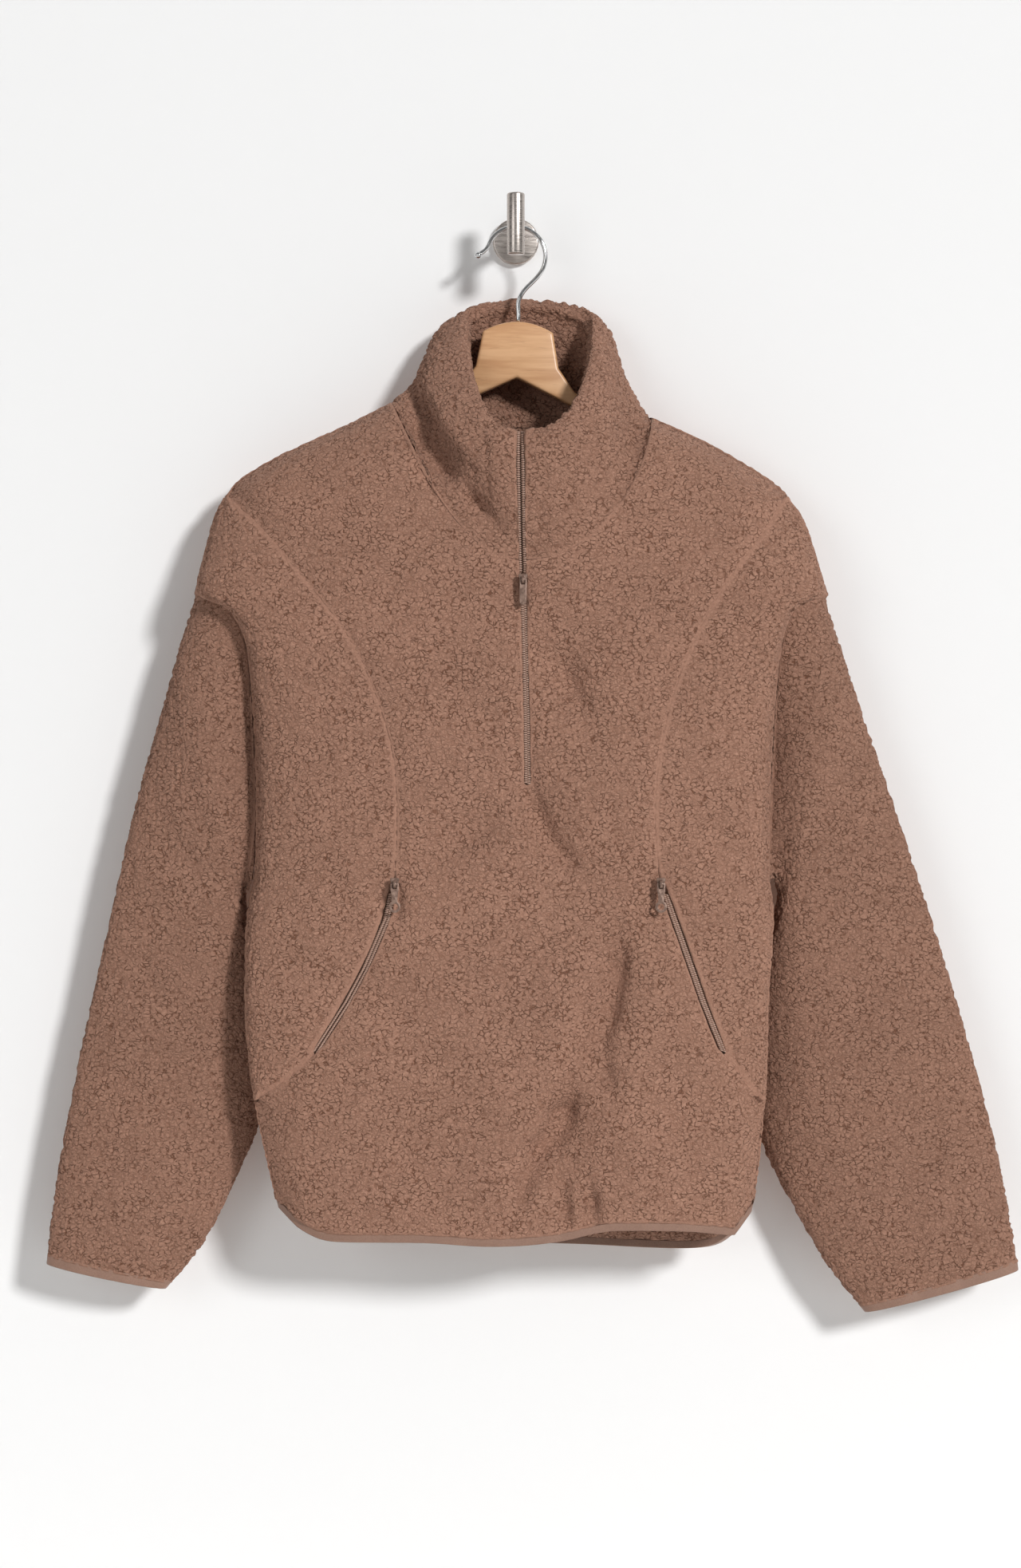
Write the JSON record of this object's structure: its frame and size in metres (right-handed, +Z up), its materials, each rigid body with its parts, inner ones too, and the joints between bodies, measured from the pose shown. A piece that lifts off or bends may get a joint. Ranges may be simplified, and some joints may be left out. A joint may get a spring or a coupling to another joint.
{
  "type": "sherpa fleece half-zip pullover on a wooden hanger and wall hook",
  "caption": "Long-sleeved sherpa fleece half-zip pullover with stand collar and zipped pockets, hung on a wooden hanger from a wall hook, open at neck, hem and cuffs.",
  "frame": {"origin": "middle of the wall plate's back face, where the hook is fixed to the wall", "axes": "+X to the viewer's right, +Y into the wall, +Z up; the garment hangs at y < 0 with its front facing -Y"},
  "size_m": [0.7479, 0.1188, 0.8577],
  "materials": {
    "sherpa": "curly pile",
    "binding": "smooth elastic",
    "tape": "woven",
    "zip_metal": "satin",
    "wood": "satin varnish",
    "chrome": "polished",
    "steel": "brushed"
  },
  "bodies": {
    "garment": {"front_centre": "sherpa", "back": "sherpa", "collar": "sherpa", "hem_binding": "binding", "front_side_left": "sherpa", "front_side_right": "sherpa", "sleeve_left": "sherpa", "sleeve_right": "sherpa", "cuff_binding_left": "binding", "cuff_binding_right": "binding", "front_zip_tape_left": "tape", "front_zip_tape_right": "tape", "pocket_tape_left": "tape", "pocket_tape_right": "tape", "front_slider": "zip_metal", "pocket_slider_left": "zip_metal", "pocket_slider_right": "zip_metal", "hanger_body": "wood", "hanger_hook": "chrome", "wall_plate": "steel", "wall_stem": "steel", "wall_bar": "steel"},
    "front_pull": {"front_pull": "zip_metal"},
    "pocket_pull_left": {"pocket_pull_left": "zip_metal"},
    "pocket_pull_right": {"pocket_pull_right": "zip_metal"}
  },
  "joints": [
    {"name": "front_pull_hinge", "type": "hinge", "parent": "garment", "child": "front_pull", "pos_m": [0.0054, -0.1012, -0.27], "axis": [-1, 0, 0], "range_deg": [-5, 150]},
    {"name": "pocket_pull_left_hinge", "type": "hinge", "parent": "garment", "child": "pocket_pull_left", "pos_m": [-0.0909, -0.1098, -0.49875], "axis": [-1, 0, 0], "range_deg": [-5, 150]},
    {"name": "pocket_pull_right_hinge", "type": "hinge", "parent": "garment", "child": "pocket_pull_right", "pos_m": [0.1089, -0.1089, -0.49875], "axis": [-1, 0, 0], "range_deg": [-5, 150]}
  ]
}
